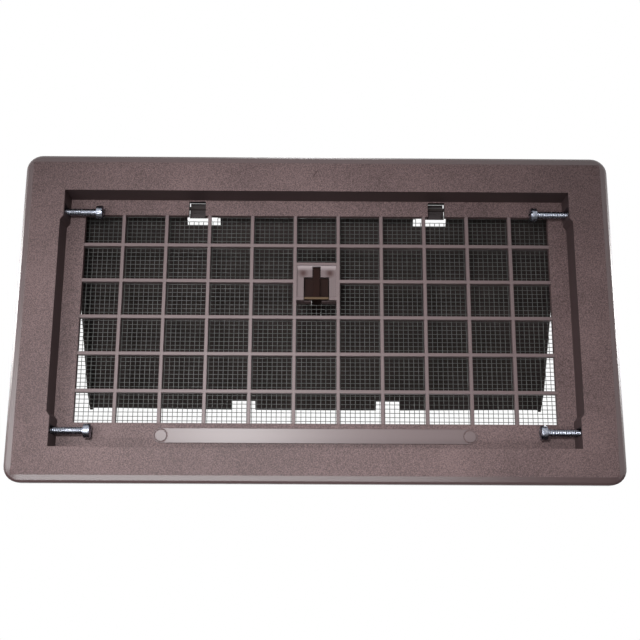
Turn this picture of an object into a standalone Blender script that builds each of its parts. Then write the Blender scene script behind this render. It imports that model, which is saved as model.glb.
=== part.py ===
"""Foundation vent for a wall opening: moulded frame with grille, screen, swinging damper,
control arm, thermostat coil and four clamping screws. Metres, +Z up, the viewer stands at -Y.
Y = 0 is the wall plane, where the flange's rim sits on the masonry."""

import math

import bmesh
import bpy
from mathutils import Matrix, Vector

MM = 0.001

# Flange
FLANGE_WIDTH = 432.8 * MM
FLANGE_HEIGHT = 242.1 * MM
FLANGE_RISE = 0.4 * MM
FLANGE_CORNER_RADIUS = 11.5 * MM
RIM_DEPTH = 8.0 * MM
RIM_BEVEL_STEPS = ((1.6 * MM, 1.1 * MM), (3.8 * MM, 0.9 * MM))
SHELL = 2.4 * MM
CORNER_SEGMENTS = 7

# Recess, a tub behind the flange with the grille as its floor
MOUTH_WIDTH = 377.8 * MM
MOUTH_TOP = 94.0 * MM
MOUTH_BOTTOM = -95.7 * MM
RECESS_DEPTH = 20.0 * MM
RECESS_DRAFT = 0.4 * MM
TUB_WALL = 2.0 * MM
TUB_REAR_LIP = 2.0 * MM
BOSS_THICKNESS = 2.4 * MM
BOSS_HEIGHT_TOP = 19.8 * MM
BOSS_HEIGHT_BOTTOM = 21.3 * MM
BOSS_SLOPE = 3.2 * MM

# Grille
OPENING_WIDTH = 349.4 * MM
OPENING_TOP = 81.6 * MM
OPENING_BOTTOM = -76.3 * MM
GRILLE_DEPTH = 4.5 * MM
BAR_WIDTH = 2.5 * MM
COLUMN_PITCH = 32.36 * MM
ROW_PITCH = 27.77 * MM
COLUMNS = 11
ROWS = 6

# Keyhole housing in the middle column
HOUSING_HEIGHT = 29.0 * MM
HOUSING_DEPTH = 12.5 * MM
HOUSING_WALL = 2.0 * MM
HOUSING_SIDE = 0.4 * MM
PLATE_SETBACK = 1.2 * MM
PLATE_THICKNESS = 2.0 * MM
KEYHOLE_WIDTH = 18.9 * MM
KEYHOLE_HEIGHT = 15.9 * MM
KEYHOLE_SLOT_WIDTH = 6.1 * MM
KEYHOLE_SLOT_HEIGHT = 8.3 * MM

# Bare label strip under the grille, and the up mark on the flange
LABEL_LENGTH = 232.8 * MM
LABEL_HEIGHT = 10.7 * MM
LABEL_Z = -85.3 * MM
LABEL_RELIEF = 0.5 * MM
RING_RADIUS = 4.9 * MM
RING_GROOVE = 0.7 * MM
RING_DEPTH = 0.35 * MM
MARK_WIDTH = 6.0 * MM
MARK_HEIGHT = 5.0 * MM
MARK_Z = 108.0 * MM
MARK_DEPTH = 0.5 * MM

# Damper and its hinge
HINGE_SETBACK = 2.5 * MM
HINGE_Z = 89.6 * MM
HINGE_BAR_RADIUS = 1.4 * MM
OPEN_ANGLE = math.radians(32.0)
DAMPER_WIDTH = 371.0 * MM
DAMPER_LENGTH = 168.2 * MM
DAMPER_BOW = 1.5 * MM
DAMPER_THICKNESS = 2.2 * MM
DAMPER_OFFSET = 6.5 * MM
DAMPER_RIB_THICKNESS = 2.2 * MM
DAMPER_RIB_FOOT = 1.0 * MM
DAMPER_NOTCH_WIDTH = 19.5 * MM
DAMPER_NOTCH_DEPTH = 8.0 * MM
DAMPER_NOTCH_X = 59.5 * MM
WINDOW_INNER_X = 74.7 * MM
WINDOW_OUTER_X = 100.2 * MM
WINDOW_LENGTH = 14.6 * MM

# Hooks that carry the hinge bar, seen through notches in the border
NOTCH_X = 90.6 * MM
NOTCH_WIDTH = 12.6 * MM
NOTCH_TOP = 92.8 * MM
HOOK_INNER_X = 80.3 * MM
HOOK_OUTER_GAP = 0.2 * MM
HOOK_BACK_THICKNESS = 2.0 * MM
HOOK_BACK_RISE = 4.6 * MM
HOOK_FLOOR_START = 1.1 * MM
TONGUE_X = 89.7 * MM
TONGUE_WIDTH = 10.2 * MM
TONGUE_SETBACK = 2.0 * MM
TONGUE_DROP = 1.7 * MM
TONGUE_HEIGHT = 4.4 * MM
UNDERSIDE_SLOPE = 0.37

# Control arm, a T section that slides in the keyhole
ARM_TAB_WIDTH = 18.1 * MM
ARM_TAB_THICKNESS = 1.7 * MM
ARM_TAB_REACH = 0.8 * MM
ARM_TAB_LENGTH = 4.5 * MM
ARM_CROSS_WIDTH = 17.6 * MM
ARM_CROSS_SETBACK = 4.0 * MM
ARM_CROSS_THICKNESS = 2.0 * MM
ARM_WEB_THICKNESS = 5.0 * MM
ARM_WEB_LENGTH = 9.5 * MM
ARM_STEM_FRONT_WIDTH = 7.1 * MM
ARM_STEM_REAR_WIDTH = 7.0 * MM
ARM_STEM_HEIGHT = 7.0 * MM
ARM_STEM_FLANGE = 2.2 * MM
ARM_STEM_WEB = 2.6 * MM
FORK_LENGTH = 12.0 * MM
FORK_GAP = 3.8 * MM
FORK_BLOCK_LENGTH = 18.0 * MM
LINK_Y = 84.0 * MM
FORK_OVERRUN = 4.0 * MM
SLOT_STEPS = 6

# Thermostat coil on the back of the damper
COIL_OFFSET = 19.0 * MM
COIL_TURNS = 3.6
COIL_INNER_RADIUS = 2.75 * MM
COIL_OUTER_RADIUS = 9.0 * MM
COIL_STRIP = 0.7 * MM
COIL_WIDTH = 8.0 * MM
COIL_TONGUE_WIDTH = 2.6 * MM
COIL_TONGUE_LENGTH = 18.0 * MM
COIL_TONGUE_OVERRUN = 3.0 * MM
COIL_STEPS_PER_TURN = 18
PIN_RADIUS = 2.0 * MM
PIN_OVERHANG = 1.5 * MM
EAR_THICKNESS = 2.2 * MM
EAR_RADIUS = 4.6 * MM

# Screen behind the grille, drawn with coarse wires
SCREEN_LAP = 4.4 * MM
SCREEN_WIRE_WIDTH = 1.2 * MM
SCREEN_WARP_THICKNESS = 0.7 * MM
SCREEN_WEFT_THICKNESS = 0.4 * MM
SCREEN_WARPS = 16
SCREEN_WEFTS = 9
SCREEN_CUTOUT_MARGIN = 1.5 * MM

# Clamping screws through the side bosses
SCREW_SHANK_RADIUS = 2.75 * MM
SCREW_SHANK_LENGTH = 31.75 * MM
SCREW_POINT = 1.2 * MM
SCREW_HEAD_RADIUS = 5.1 * MM
SCREW_HEAD_LENGTH = 5.2 * MM
SCREW_HEAD_ROUNDING = 1.2 * MM
SCREW_SLOT_WIDTH = 1.3 * MM
SCREW_SLOT_DEPTH = 1.6 * MM
SCREW_BACKED_OUT = 21.0 * MM
SCREW_FROM_FLOOR = 6.0 * MM
SCREW_INSET_Z = 12.7 * MM
ROUND_STEPS = 20

# Running clearance between neighbouring pieces
GAP = 0.3 * MM
CUT = 1.0 * MM

# Places worked out from the sizes above
FACE_Y = -RIM_DEPTH
FLOOR_Y = FACE_Y + RECESS_DEPTH
GRILLE_BACK_Y = FLOOR_Y + GRILLE_DEPTH
TUB_BACK_Y = GRILLE_BACK_Y + TUB_REAR_LIP
HINGE_Y = GRILLE_BACK_Y + HINGE_SETBACK
CENTRE_Z = FLANGE_HEIGHT / 2.0 - SHELL / 2.0 - FLANGE_RISE
GRILLE_MID_Z = (OPENING_TOP + OPENING_BOTTOM) / 2.0
HOUSING_MID_Z = GRILLE_MID_Z + ROW_PITCH
HOUSING_BOTTOM_Z = HOUSING_MID_Z - HOUSING_HEIGHT / 2.0
HOUSING_TOP_Z = HOUSING_MID_Z + HOUSING_HEIGHT / 2.0
HOUSING_HALF_WIDTH = (COLUMN_PITCH - BAR_WIDTH) / 2.0
HOUSING_BACK_Y = FLOOR_Y + HOUSING_DEPTH
KEYHOLE_BOTTOM_Z = HOUSING_BOTTOM_Z + HOUSING_WALL
ARM_BOTTOM_Z = HOUSING_BOTTOM_Z + GAP
SCREEN_Y = GRILLE_BACK_Y + GAP
LINK_Z = ARM_BOTTOM_Z + ARM_STEM_HEIGHT / 2.0
STEM_START_Y = FLOOR_Y + ARM_CROSS_SETBACK
FORK_BLOCK_Y = LINK_Y + FORK_OVERRUN - FORK_BLOCK_LENGTH
DAMPER_BACK = DAMPER_OFFSET + DAMPER_THICKNESS


def new_collection(name):
    """A collection of its own in the scene."""
    collection = bpy.data.collections.new(name)
    bpy.context.scene.collection.children.link(collection)
    return collection


def linear(hex_code):
    """Turn an sRGB hex colour into the linear values that Blender's shaders use."""
    channels = [int(hex_code[i:i + 2], 16) / 255.0 for i in (1, 3, 5)]
    toned = [c / 12.92 if c <= 0.04045 else ((c + 0.055) / 1.055) ** 2.4 for c in channels]
    return (*toned, 1.0)


def plain_material(name, hex_code, roughness, metallic=0.0):
    """A Principled material with one colour."""
    material = bpy.data.materials.new(name)
    material.use_nodes = True
    shader = material.node_tree.nodes["Principled BSDF"]
    shader.inputs["Base Color"].default_value = linear(hex_code)
    shader.inputs["Roughness"].default_value = roughness
    shader.inputs["Metallic"].default_value = metallic
    return material


def object_from_bmesh(name, bm, collection):
    """Store a bmesh as an object."""
    mesh = bpy.data.meshes.new(name)
    bm.normal_update()
    bm.to_mesh(mesh)
    bm.free()
    item = bpy.data.objects.new(name, mesh)
    collection.objects.link(item)
    return item


def add_box(bm, low, high):
    """Add one axis-aligned box to a bmesh and return its vertices."""
    low = Vector(low)
    high = Vector(high)
    size = Matrix.Diagonal((*(high - low), 1.0))
    place = Matrix.Translation((low + high) / 2.0) @ size
    return bmesh.ops.create_cube(bm, size=1.0, matrix=place)["verts"]


def boxes(name, corners, collection):
    """One object made of separate boxes, each given by its low and high corner."""
    bm = bmesh.new()
    for low, high in corners:
        add_box(bm, low, high)
    return object_from_bmesh(name, bm, collection)


def tapered_box(name, half_x, low_z, high_z, y_front, y_back, draft, collection):
    """A box that narrows by the draft on every side towards its back."""
    bm = bmesh.new()
    for vert in add_box(bm, (-half_x, y_front, low_z), (half_x, y_back, high_z)):
        if vert.co.y > (y_front + y_back) / 2.0:
            vert.co.x -= math.copysign(draft, vert.co.x)
            vert.co.z += draft if vert.co.z < (low_z + high_z) / 2.0 else -draft
    return object_from_bmesh(name, bm, collection)


def drafted_solid(name, points, y_front, y_back, draft, collection):
    """Extrude an outline given as (x, z) backwards, drawing its sides in by the draft."""
    bm = bmesh.new()
    front = [bm.verts.new((x, y_front, z)) for x, z in points]
    back = [bm.verts.new((x - math.copysign(draft, x), y_back, z)) for x, z in points]
    bm.faces.new(front)
    bm.faces.new(back[::-1])
    for i in range(len(points)):
        j = (i + 1) % len(points)
        bm.faces.new((front[i], front[j], back[j], back[i]))
    bmesh.ops.recalc_face_normals(bm, faces=bm.faces)
    return object_from_bmesh(name, bm, collection)


def cylinder(name, radius, start, end, collection, steps=ROUND_STEPS):
    """A closed cylinder between two points."""
    start = Vector(start)
    run = Vector(end) - start
    turn = run.to_track_quat("Z", "Y").to_matrix().to_4x4()
    place = Matrix.Translation(start + run / 2.0) @ turn
    bm = bmesh.new()
    bmesh.ops.create_cone(
        bm, cap_ends=True, segments=steps, radius1=radius, radius2=radius, depth=run.length, matrix=place
    )
    return object_from_bmesh(name, bm, collection)


def outline_solid(name, points, thickness, axes, middle, collection):
    """Extrude a flat outline both ways from the middle. axes gives its two directions."""
    first, second = (Vector(axis) for axis in axes)
    third = first.cross(second)
    bm = bmesh.new()
    back = Vector(middle) - third * thickness / 2.0
    verts = [bm.verts.new(back + first * u + second * v) for u, v in points]
    face = bm.faces.new(verts)
    raised = bmesh.ops.extrude_face_region(bm, geom=[face])["geom"]
    lifted = [item for item in raised if isinstance(item, bmesh.types.BMVert)]
    bmesh.ops.translate(bm, verts=lifted, vec=third * thickness)
    bmesh.ops.recalc_face_normals(bm, faces=bm.faces)
    return object_from_bmesh(name, bm, collection)


def frozen(source, collection):
    """Replace a modified object by its finished mesh, welded and facing out."""
    depsgraph = bpy.context.evaluated_depsgraph_get()
    mesh = bpy.data.meshes.new_from_object(source.evaluated_get(depsgraph))
    bm = bmesh.new()
    bm.from_mesh(mesh)
    bmesh.ops.remove_doubles(bm, verts=bm.verts, dist=0.00001)
    bmesh.ops.recalc_face_normals(bm, faces=bm.faces)
    bm.to_mesh(mesh)
    bm.free()
    name = source.name
    bpy.data.objects.remove(source)
    item = bpy.data.objects.new(name, mesh)
    collection.objects.link(item)
    return item


def turned(name, profile, collection, steps=ROUND_STEPS):
    """Spin a profile of (radius, height) points about Z with a Screw modifier."""
    bm = bmesh.new()
    verts = [bm.verts.new((radius, 0.0, height)) for radius, height in profile]
    for first, second in zip(verts, verts[1:]):
        bm.edges.new((first, second))
    source = object_from_bmesh(name, bm, collection)
    screw = source.modifiers.new("turn", "SCREW")
    screw.steps = steps
    screw.render_steps = steps
    screw.use_merge_vertices = True
    screw.merge_threshold = 0.00001
    bpy.context.view_layer.update()
    return frozen(source, collection)


def boolean(target, tool, operation):
    """Cut or join with a live Boolean modifier; the tool stays as a wire guide."""
    modifier = target.modifiers.new(tool.name, "BOOLEAN")
    modifier.operation = operation
    modifier.solver = "EXACT"
    modifier.object = tool
    tool.hide_render = True
    tool.display_type = "WIRE"


def arc(centre, radius, start_deg, end_deg, steps):
    """Points along a round stretch of an outline."""
    points = []
    for step in range(steps + 1):
        angle = math.radians(start_deg + (end_deg - start_deg) * step / steps)
        points.append((centre[0] + radius * math.cos(angle), centre[1] + radius * math.sin(angle)))
    return points


def smooth(item, angle=35.0):
    """Shade round pieces smooth and keep their hard edges."""
    item.data.shade_smooth()
    item.data.set_sharp_from_angle(angle=math.radians(angle))


def finish(item, material, parent):
    """Give a part its material and hang it on its parent."""
    item.data.materials.clear()
    item.data.materials.append(material)
    item.parent = parent
    smooth(item)


def rounded_block(name, width, height, corner, y_back, y_front, steps, collection):
    """A block with round corners whose front edge steps in, for the flange and its hollow."""
    bm = bmesh.new()
    low = FLANGE_RISE - height / 2.0
    add_box(bm, (-width / 2.0, y_front, low), (width / 2.0, y_back, low + height))
    uprights = [e for e in bm.edges if abs(e.verts[0].co.y - e.verts[1].co.y) > abs(y_back - y_front) / 2.0]
    bmesh.ops.bevel(bm, geom=uprights, offset=corner, segments=CORNER_SEGMENTS, profile=0.5, affect="EDGES")
    bm.faces.ensure_lookup_table()
    front = min(bm.faces, key=lambda face: face.calc_center_median().y)
    for inset, rise in steps:
        bmesh.ops.inset_region(bm, faces=[front], thickness=inset, use_even_offset=True)
        bmesh.ops.translate(bm, verts=list(front.verts), vec=(0.0, -rise, 0.0))
    return object_from_bmesh(name, bm, collection)


def cell_corners():
    """Openings between the grille's bars, without the housing in the middle column."""
    half = BAR_WIDTH / 2.0
    x_bars = [(i - (COLUMNS - 2) / 2.0) * COLUMN_PITCH for i in range(COLUMNS - 1)]
    z_bars = [GRILLE_MID_Z + (i - (ROWS - 2) / 2.0) * ROW_PITCH for i in range(ROWS - 1)]
    x_edges = [-OPENING_WIDTH / 2.0, *(x + side * half for x in x_bars for side in (-1, 1)), OPENING_WIDTH / 2.0]
    z_edges = [OPENING_BOTTOM, *(z + side * half for z in z_bars for side in (-1, 1)), OPENING_TOP]
    corners = []
    for column in range(COLUMNS):
        for row in range(ROWS):
            low_x, high_x = x_edges[2 * column:2 * column + 2]
            low_z, high_z = z_edges[2 * row:2 * row + 2]
            if column == COLUMNS // 2 and low_z < HOUSING_BOTTOM_Z < high_z:
                high_z = HOUSING_BOTTOM_Z
            if column == COLUMNS // 2 and low_z < HOUSING_TOP_Z < high_z:
                low_z = HOUSING_TOP_Z
            corners.append(((low_x, FLOOR_Y - CUT, low_z), (high_x, GRILLE_BACK_Y + CUT, high_z)))
    return corners


def between_bosses(extra):
    """Outline of the wide middle of the recess, whose corners follow the bosses' sloped ends."""
    wide = MOUTH_WIDTH / 2.0 + extra
    reach = BOSS_THICKNESS + CUT
    slope = BOSS_SLOPE * reach / BOSS_THICKNESS
    top = MOUTH_TOP - BOSS_HEIGHT_TOP - BOSS_SLOPE
    bottom = MOUTH_BOTTOM + BOSS_HEIGHT_BOTTOM + BOSS_SLOPE
    right = [
        (wide - reach, bottom - slope),
        (wide, bottom),
        (wide, top),
        (wide - reach, top + slope),
    ]
    return right + [(-x, z) for x, z in right[::-1]]


def keyhole_points():
    """Outline of the inverted T hole, as (x, z)."""
    wide = KEYHOLE_WIDTH / 2.0
    slot = KEYHOLE_SLOT_WIDTH / 2.0
    shoulder = KEYHOLE_BOTTOM_Z + KEYHOLE_HEIGHT
    top = shoulder + KEYHOLE_SLOT_HEIGHT
    return [
        (-wide, KEYHOLE_BOTTOM_Z),
        (wide, KEYHOLE_BOTTOM_Z),
        (wide, shoulder),
        (slot, shoulder),
        (slot, top),
        (-slot, top),
        (-slot, shoulder),
        (-wide, shoulder),
    ]


def hook(side, guides):
    """One moulded hook that carries the damper's hinge bar, and the tongue on its front."""
    floor_top = HINGE_Z - HINGE_BAR_RADIUS - GAP
    back = HINGE_Y + HINGE_BAR_RADIUS + GAP
    rear = back + HOOK_BACK_THICKNESS
    root = GRILLE_BACK_Y - GAP
    shelf = GRILLE_BACK_Y + HOOK_FLOOR_START
    front = FLOOR_Y + TONGUE_SETBACK
    low = OPENING_TOP - TONGUE_DROP
    profile = [
        (root, low + UNDERSIDE_SLOPE * (root - front)),
        (rear, low + UNDERSIDE_SLOPE * (rear - front)),
        (rear, HINGE_Z + HOOK_BACK_RISE),
        (back, HINGE_Z + HOOK_BACK_RISE),
        (back, floor_top),
        (shelf, floor_top),
        (shelf, low + TONGUE_HEIGHT),
        (root, low + TONGUE_HEIGHT),
    ]
    axes = ((0.0, 1.0, 0.0), (0.0, 0.0, 1.0))
    outer = NOTCH_X + NOTCH_WIDTH / 2.0 - HOOK_OUTER_GAP
    middle = (side * (HOOK_INNER_X + outer) / 2.0, 0.0, 0.0)
    block = outline_solid(f"hook_{side}", profile, outer - HOOK_INNER_X, axes, middle, guides)
    overlap = root + 2.0 * GAP
    tongue_profile = [
        (front, low),
        (overlap, low + UNDERSIDE_SLOPE * (overlap - front)),
        (overlap, low + TONGUE_HEIGHT - GAP),
        (front, low + TONGUE_HEIGHT - GAP),
    ]
    tongue_middle = (side * TONGUE_X, 0.0, 0.0)
    tongue = outline_solid(f"tongue_{side}", tongue_profile, TONGUE_WIDTH, axes, tongue_middle, guides)
    return block, tongue


def screw_rows():
    """The four screws as (name, side, z), in line with the bosses."""
    top = MOUTH_TOP - SCREW_INSET_Z
    bottom = MOUTH_BOTTOM + SCREW_INSET_Z
    return [
        ("screw_top_left", -1, top),
        ("screw_top_right", 1, top),
        ("screw_bottom_left", -1, bottom),
        ("screw_bottom_right", 1, bottom),
    ]


def screw_slot():
    """Outline of a slot in a boss as (y, z): round behind the screw, open up to the flange's plate."""
    radius = SCREW_SHANK_RADIUS + GAP
    centre = (FLOOR_Y - SCREW_FROM_FLOOR, 0.0)
    front = FACE_Y + SHELL
    return [(front, -radius), *arc(centre, radius, -90.0, 90.0, ROUND_STEPS // 2), (front, radius)]


def make_body(parts, guides):
    """The one-piece moulding: flange, tub, grille, housing, hooks, bosses and label strip."""
    body = rounded_block(
        "vent_body", FLANGE_WIDTH, FLANGE_HEIGHT, FLANGE_CORNER_RADIUS, 0.0,
        FACE_Y + sum(rise for _, rise in RIM_BEVEL_STEPS), RIM_BEVEL_STEPS, parts,
    )
    hollow = rounded_block(
        "flange_hollow", FLANGE_WIDTH - 2.0 * SHELL, FLANGE_HEIGHT - 2.0 * SHELL,
        FLANGE_CORNER_RADIUS - SHELL, CUT, FACE_Y + SHELL, (), guides,
    )
    boolean(body, hollow, "DIFFERENCE")

    tub_half = MOUTH_WIDTH / 2.0 + TUB_WALL
    tub_low = MOUTH_BOTTOM - TUB_WALL
    tub_high = MOUTH_TOP + TUB_WALL
    tub = boxes(
        "tub", [((-tub_half, FACE_Y + SHELL / 2.0, tub_low), (tub_half, TUB_BACK_Y, tub_high))], guides
    )
    boolean(body, tub, "UNION")

    slope = RECESS_DRAFT / RECESS_DEPTH
    extra = CUT * slope
    draft = RECESS_DRAFT + extra
    narrow = tapered_box(
        "recess_between_bosses", MOUTH_WIDTH / 2.0 - BOSS_THICKNESS + extra, MOUTH_BOTTOM - extra,
        MOUTH_TOP + extra, FACE_Y - CUT, FLOOR_Y, draft, guides,
    )
    boolean(body, narrow, "DIFFERENCE")
    wide = drafted_solid("recess_middle", between_bosses(extra), FACE_Y - CUT, FLOOR_Y, draft, guides)
    boolean(body, wide, "DIFFERENCE")
    rear_half = MOUTH_WIDTH / 2.0 - RECESS_DRAFT
    rear = boxes(
        "rear_rebate",
        [((-rear_half, GRILLE_BACK_Y, MOUTH_BOTTOM + RECESS_DRAFT),
          (rear_half, TUB_BACK_Y + CUT, MOUTH_TOP - RECESS_DRAFT))],
        guides,
    )
    boolean(body, rear, "DIFFERENCE")

    housing = boxes(
        "housing",
        [((-HOUSING_HALF_WIDTH - BAR_WIDTH / 2.0, FLOOR_Y + GRILLE_DEPTH / 2.0, HOUSING_BOTTOM_Z),
          (HOUSING_HALF_WIDTH + BAR_WIDTH / 2.0, HOUSING_BACK_Y, HOUSING_TOP_Z))],
        guides,
    )
    boolean(body, housing, "UNION")
    boolean(body, boxes("cells", cell_corners(), guides), "DIFFERENCE")

    plate_front = FLOOR_Y + PLATE_SETBACK
    inner = HOUSING_HALF_WIDTH - HOUSING_SIDE
    floor_z = HOUSING_BOTTOM_Z + HOUSING_WALL
    roof_z = HOUSING_TOP_Z - HOUSING_WALL
    sinks = boxes(
        "housing_sinks",
        [((-inner, FLOOR_Y - CUT, floor_z), (inner, plate_front, roof_z)),
         ((-inner, plate_front + PLATE_THICKNESS, floor_z), (inner, HOUSING_BACK_Y + CUT, roof_z))],
        guides,
    )
    boolean(body, sinks, "DIFFERENCE")
    front_axes = ((1.0, 0.0, 0.0), (0.0, 0.0, 1.0))
    keyhole = outline_solid(
        "keyhole", keyhole_points(), PLATE_THICKNESS + CUT, front_axes,
        (0.0, plate_front + PLATE_THICKNESS / 2.0, 0.0), guides,
    )
    boolean(body, keyhole, "DIFFERENCE")

    tab_half = KEYHOLE_WIDTH / 2.0
    stem_half = ARM_STEM_FRONT_WIDTH / 2.0 + GAP
    low = HOUSING_BOTTOM_Z - CUT
    high = KEYHOLE_BOTTOM_Z + CUT
    channel = boxes(
        "arm_channel", [((-stem_half, FLOOR_Y - CUT, low), (stem_half, HOUSING_BACK_Y + CUT, high))], guides
    )
    boolean(body, channel, "DIFFERENCE")
    tab_back = FLOOR_Y - ARM_TAB_REACH + ARM_TAB_LENGTH + GAP
    tab_seat = boxes("tab_seat", [((-tab_half, FLOOR_Y - CUT, low), (tab_half, tab_back, high))], guides)
    boolean(body, tab_seat, "DIFFERENCE")

    notch_bottom = OPENING_TOP - CUT
    notches = boxes(
        "notches",
        [((side * NOTCH_X - NOTCH_WIDTH / 2.0, FLOOR_Y - CUT, notch_bottom),
          (side * NOTCH_X + NOTCH_WIDTH / 2.0, GRILLE_BACK_Y + CUT, NOTCH_TOP)) for side in (-1, 1)],
        guides,
    )
    boolean(body, notches, "DIFFERENCE")
    for side in (-1, 1):
        for piece in hook(side, guides):
            boolean(body, piece, "UNION")

    end = LABEL_LENGTH / 2.0 - LABEL_HEIGHT / 2.0
    radius = LABEL_HEIGHT / 2.0
    stadium = arc((end, LABEL_Z), radius, -90.0, 90.0, 8) + arc((-end, LABEL_Z), radius, 90.0, 270.0, 8)
    label = outline_solid(
        "label_strip", stadium, 2.0 * LABEL_RELIEF, front_axes, (0.0, FLOOR_Y, 0.0), guides
    )
    boolean(body, label, "UNION")
    for side in (-1, 1):
        groove_front = FLOOR_Y - LABEL_RELIEF - CUT
        groove_back = FLOOR_Y - LABEL_RELIEF + RING_DEPTH
        section = [
            (RING_RADIUS, groove_front),
            (RING_RADIUS, groove_back),
            (RING_RADIUS - RING_GROOVE, groove_back),
            (RING_RADIUS - RING_GROOVE, groove_front),
            (RING_RADIUS, groove_front),
        ]
        ring = turned(f"ring_{side}", section, guides)
        ring.data.transform(Matrix.Rotation(math.radians(-90.0), 4, "X"))
        ring.data.transform(Matrix.Translation((side * end, 0.0, LABEL_Z)))
        boolean(body, ring, "DIFFERENCE")

    arrow = [
        (-MARK_WIDTH / 2.0, MARK_Z - MARK_HEIGHT / 2.0),
        (MARK_WIDTH / 2.0, MARK_Z - MARK_HEIGHT / 2.0),
        (0.0, MARK_Z + MARK_HEIGHT / 2.0),
    ]
    mark = outline_solid(
        "up_mark", arrow, 2.0 * MARK_DEPTH, front_axes, (0.0, FACE_Y, 0.0), guides
    )
    boolean(body, mark, "DIFFERENCE")

    for name, side, z in screw_rows():
        inside = MOUTH_WIDTH / 2.0 - BOSS_THICKNESS - 2.0 * CUT
        outside = MOUTH_WIDTH / 2.0 + TUB_WALL + CUT
        middle = (side * (inside + outside) / 2.0, 0.0, z)
        slot = outline_solid(
            f"slot_for_{name}", screw_slot(), outside - inside, ((0.0, 1.0, 0.0), (0.0, 0.0, 1.0)), middle, guides
        )
        boolean(body, slot, "DIFFERENCE")
    return body


def make_screen(parts, guides):
    """Wire screen against the back of the grille, open round the housing and the hooks."""
    half = OPENING_WIDTH / 2.0 + SCREEN_LAP
    low = OPENING_BOTTOM - SCREEN_LAP
    high = OPENING_TOP + SCREEN_LAP / 2.0
    wire = SCREEN_WIRE_WIDTH / 2.0
    warps = []
    for index in range(SCREEN_WARPS):
        x = (half - wire) * (2.0 * index / (SCREEN_WARPS - 1) - 1.0)
        warps.append(((x - wire, SCREEN_Y, low), (x + wire, SCREEN_Y + SCREEN_WARP_THICKNESS, high)))
    wefts = []
    weft_y = SCREEN_Y + (SCREEN_WARP_THICKNESS - SCREEN_WEFT_THICKNESS) / 2.0
    for index in range(SCREEN_WEFTS):
        z = low + wire + (high - low - 2.0 * wire) * index / (SCREEN_WEFTS - 1)
        wefts.append(
            ((-half + wire / 2.0, weft_y, z - wire / 2.0),
             (half - wire / 2.0, weft_y + SCREEN_WEFT_THICKNESS, z + wire / 2.0))
        )
    screen = boxes("insect_screen", warps, parts)
    boolean(screen, boxes("wefts", wefts, guides), "UNION")
    margin = SCREEN_CUTOUT_MARGIN
    front = SCREEN_Y - CUT
    back = SCREEN_Y + SCREEN_WARP_THICKNESS + CUT
    side_x = HOUSING_HALF_WIDTH + BAR_WIDTH / 2.0 + margin
    cutouts = [((-side_x, front, HOUSING_BOTTOM_Z - margin), (side_x, back, HOUSING_TOP_Z + margin))]
    for side in (-1, 1):
        near = side * (HOOK_INNER_X - margin)
        far = side * (NOTCH_X + NOTCH_WIDTH / 2.0 + margin)
        cutouts.append(
            ((min(near, far), front, OPENING_TOP - TONGUE_DROP + CUT / 2.0), (max(near, far), back, high + CUT))
        )
    boolean(screen, boxes("screen_cutouts", cutouts, guides), "DIFFERENCE")
    return screen


def damper_outline():
    """Damper plate as (x, z) below its hinge line, with a bowed lower edge and two notches."""
    half = DAMPER_WIDTH / 2.0
    steps = 12

    def edge_z(x):
        return -DAMPER_LENGTH - DAMPER_BOW * (1.0 - (x / half) ** 2)

    bottom = []
    for step in range(steps + 1):
        x = -half + 2.0 * half * step / steps
        bottom.append((x, edge_z(x)))
    for side in (-1, 1):
        low = side * DAMPER_NOTCH_X - DAMPER_NOTCH_WIDTH / 2.0
        high = side * DAMPER_NOTCH_X + DAMPER_NOTCH_WIDTH / 2.0
        roof = -DAMPER_LENGTH - DAMPER_BOW + DAMPER_NOTCH_DEPTH
        bottom = [point for point in bottom if not low <= point[0] <= high]
        bottom += [(low, edge_z(low)), (low, roof), (high, roof), (high, edge_z(high))]
    ordered = sorted(bottom, key=lambda point: point[0])
    tidy = []
    for x, z in ordered:
        pair = [point for point in ordered if point[0] == x]
        if len(pair) == 1:
            tidy.append((x, z))
        elif (x, z) == pair[0]:
            into_notch = any(abs(x - (s * DAMPER_NOTCH_X - DAMPER_NOTCH_WIDTH / 2.0)) < GAP for s in (-1, 1))
            tidy += sorted(pair, key=lambda point: point[1], reverse=not into_notch)
    return [*tidy, (half, 0.0), (-half, 0.0)]


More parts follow.
